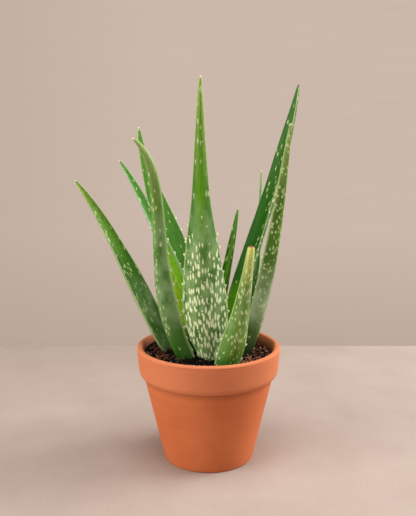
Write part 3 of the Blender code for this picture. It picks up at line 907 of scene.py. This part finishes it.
def hair_root_points(dice):
    """One dry hair root or bark fibre: a thin bent rod lying on the soil."""
    sides, steps, radius = 5, 9, dice.uniform(0.14, 0.26) * MM
    reach = pot_inner_radius(SOIL_EDGE_Z) - 8 * MM
    r, a = reach * sqrt(dice.random()), dice.uniform(0, 2 * pi)
    place, heading = Vector((r * cos(a), r * sin(a), 0)), dice.uniform(0, 2 * pi)
    stride, bend = dice.uniform(0.8, 1.5) * MM, dice.uniform(-0.25, 0.25)
    points = []
    for i in range(steps):
        heading += bend
        place += Vector((cos(heading), sin(heading), 0)) * stride
        arch = sin(pi * i / (steps - 1)) * dice.uniform(0.6, 1.6) * MM
        centre = Vector((place.x, place.y, soil_height(place.x, place.y) + 0.5 * MM + arch))
        across = Vector((-sin(heading), cos(heading), 0))
        thin = radius * (1 - 0.6 * abs(2 * i / (steps - 1) - 1) ** 3)
        for j in range(sides):
            b = 2 * pi * j / sides
            points.append(tuple(centre + across * (thin * cos(b)) + Vector((0, 0, thin * sin(b)))))
    faces = [tuple(reversed(range(sides))), tuple(range((steps - 1) * sides, steps * sides))]
    for i in range(steps - 1):
        for j in range(sides):
            k = (j + 1) % sides
            faces.append((i * sides + j, i * sides + k, (i + 1) * sides + k, (i + 1) * sides + j))
    return points, faces


points, faces = [], []
fibre_dice = Random(21)
for _ in range(110):
    more_points, more_faces = hair_root_points(fibre_dice)
    if all(clear_of_leaves(Vector(point), 0.3 * MM) for point in more_points[::5]):
        faces += [tuple(len(points) + k for k in face) for face in more_faces]
        points += more_points
dry_fibre = damp_peat("dry_fibre", "#4a2f20", "#a98468", 0.8)
fibres = piece("hair_roots", points, faces, dry_fibre)
shade_points(fibres, [0.9] * len(points))


# ---- Studio ------------------------------------------------------------------------------------
# Not a piece of the plant: a pale painted board to stand on, a paler plastered wall far behind it, and
# large soft lights to the left, to the right and overhead.

BOARD_BACK = 336 * MM
BOARD_REACH = 1.4


def painted_board():
    """Board with flat wall paint: matt, with the faint unevenness of a roller."""
    material, tree, shader = new_material("painted_board", Roughness=0.85, Specular_IOR_Level=0.2)
    place = add(tree, "TexCoord").outputs["Object"]
    roller = add(tree, "TexNoise", {"Vector": place, "Scale": 1 / 0.06, "Detail": 5.0}).outputs["Fac"]
    paint = add(tree, "Mix", {0: roller, 6: srgb("#a4958c"), 7: srgb("#b9aba2")}, data_type="RGBA").outputs[2]
    stipple = add(tree, "TexNoise", {"Vector": place, "Scale": 1 / (1.6 * MM), "Detail": 2.0}).outputs["Fac"]
    speck = add(tree, "MapRange", {0: stipple, 1: 0.4, 2: 0.7, 4: 0.45}).outputs[0]
    colour = add(tree, "Mix", {0: speck, 6: paint, 7: srgb("#9d8e84")}, data_type="RGBA").outputs[2]
    tree.links.new(colour, shader.inputs["Base Color"])
    return material


board = bpy.data.meshes.new("board")
front_edge = [(-BOARD_REACH, -BOARD_REACH, 0), (BOARD_REACH, -BOARD_REACH, 0)]
back_edge = [(BOARD_REACH, BOARD_BACK, 0), (-BOARD_REACH, BOARD_BACK, 0)]
board.from_pydata(front_edge + back_edge, [], [(0, 1, 2, 3)])
board.materials.append(painted_board())
board_object = bpy.data.objects.new("board", board)
bpy.context.scene.collection.objects.link(board_object)

# The wall is far off, so it is part of the world: dimmer towards the floor, and dark overhead.
world = bpy.data.worlds.new("pale_wall")
bpy.context.scene.world = world
world.use_nodes = True
tree = world.node_tree
outwards = add(tree, "TexCoord").outputs["Generated"]
x, _, z = add(tree, "SeparateXYZ", {0: outwards}).outputs
near_floor = add(tree, "MapRange", {0: z, 1: -0.13, 2: -0.31, 4: 0.8}).outputs[0]
wall = add(tree, "Mix", {0: near_floor, 6: srgb("#ccb9ab"), 7: srgb("#b4a192")}, data_type="RGBA").outputs[2]
to_left = add(tree, "MapRange", {0: x, 1: -0.08, 2: -0.35, 4: 0.42}).outputs[0]
shaded = add(tree, "Mix", {0: to_left, 6: wall, 7: srgb("#ab998b")}, data_type="RGBA").outputs[2]
# Trowelled level, so the plaster's unevenness runs sideways.
trowel = add(tree, "Mapping", {"Vector": outwards, "Scale": (12, 12, 110)}).outputs[0]
streaks = add(tree, "TexNoise", {"Vector": trowel, "Scale": 1.0, "Detail": 3.0}).outputs["Fac"]
plaster = add(tree, "MapRange", {0: streaks, 1: 0.35, 2: 0.7, 4: 0.22}).outputs[0]
uneven = add(tree, "Mix", {0: plaster, 6: shaded, 7: srgb("#c3b0a1")}, data_type="RGBA").outputs[2]
overhead = add(tree, "MapRange", {0: z, 1: 0.22, 2: 0.55}).outputs[0]
studio_air = add(tree, "Mix", {0: overhead, 6: uneven, 7: srgb("#5c544e")}, data_type="RGBA").outputs[2]
tree.links.new(studio_air, tree.nodes["Background"].inputs["Color"])


def softbox(name, place, target, size, watts, colour):
    """A square soft light at a place, turned to a target, both in metres about the pot's axis."""
    light = bpy.data.lights.new(name, "AREA")
    light.shape, light.size = "SQUARE", size
    light.energy, light.color = watts, srgb(colour)[:3]
    made = bpy.data.objects.new(name, light)
    made.location = AXIS + Vector(place)
    made.rotation_euler = (Vector(target) - Vector(place)).to_track_quat("-Z", "Y").to_euler()
    bpy.context.scene.collection.objects.link(made)


softbox("left_softbox", (-1.0, -0.42, 0.44), (0, 0, 0.14), 0.7, 10, "#fff8f2")
softbox("right_softbox", (0.95, 0.16, 0.66), (0, 0, 0.15), 0.7, 15, "#fffaf6")
softbox("top_softbox", (0.0, -0.25, 1.3), (0, 0, 0.1), 0.8, 12, "#fffdfa")

# The camera stands a little above the leaves' middle, 60 cm in front of the pot, and looks a little down.
CAMERA_PLACE = (-0.0005, -0.600, 0.2882)
CAMERA_TILT_DOWN = 9.79
camera_data = bpy.data.cameras.new("camera")
camera_data.lens = 47.7
camera = bpy.data.objects.new("camera", camera_data)
camera.location = AXIS + Vector(CAMERA_PLACE)
camera.rotation_euler = (radians(90 - CAMERA_TILT_DOWN), 0, 0)
bpy.context.scene.collection.objects.link(camera)
bpy.context.scene.camera = camera
bpy.context.scene.view_settings.view_transform = "Standard"
